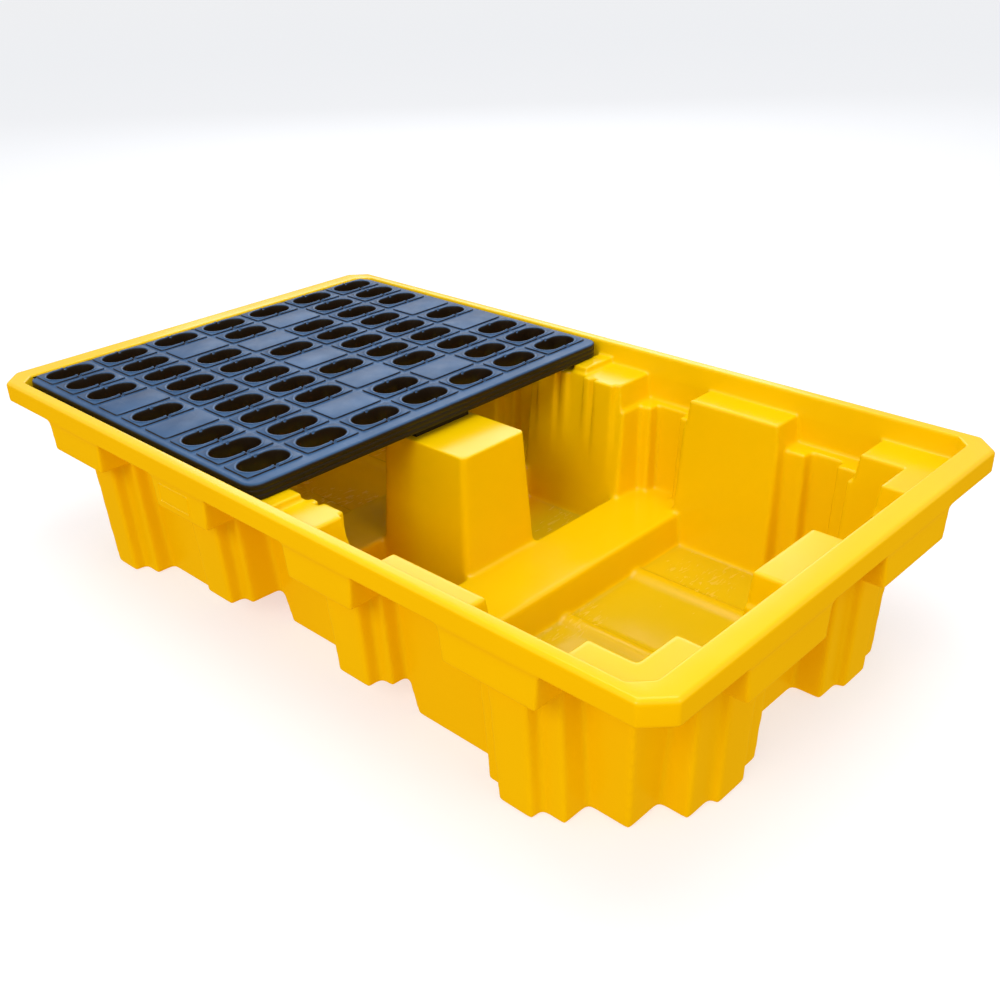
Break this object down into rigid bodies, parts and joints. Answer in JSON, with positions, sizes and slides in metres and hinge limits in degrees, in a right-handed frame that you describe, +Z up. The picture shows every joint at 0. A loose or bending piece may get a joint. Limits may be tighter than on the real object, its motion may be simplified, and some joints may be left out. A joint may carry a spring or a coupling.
{
  "type": "spill containment pallet",
  "caption": "Long low moulded sump tray with stepped drafted walls, fork channels and a centre post, carrying a lift-off slotted deck grate over one half.",
  "frame": {"origin": "on the ground under the middle of the tray", "axes": "+X along the long side towards the open half, +Y across the pallet towards its back, +Z up"},
  "size_m": [1.3, 0.756, 0.285],
  "materials": {
    "yellow_polyethylene": "glossy moulded yellow polyethylene with light scuffs",
    "dark_polyethylene": "semi-matt dark grey polyethylene, faintly grained"
  },
  "bodies": {
    "tray": {"sump_tray": "yellow_polyethylene"},
    "grate": {"deck_grate": "dark_polyethylene"}
  },
  "joints": [
    {"name": "grate_lift", "type": "slide", "parent": "tray", "child": "grate", "axis": [0, 0, 1], "range_m": [0, 0.12]}
  ]
}
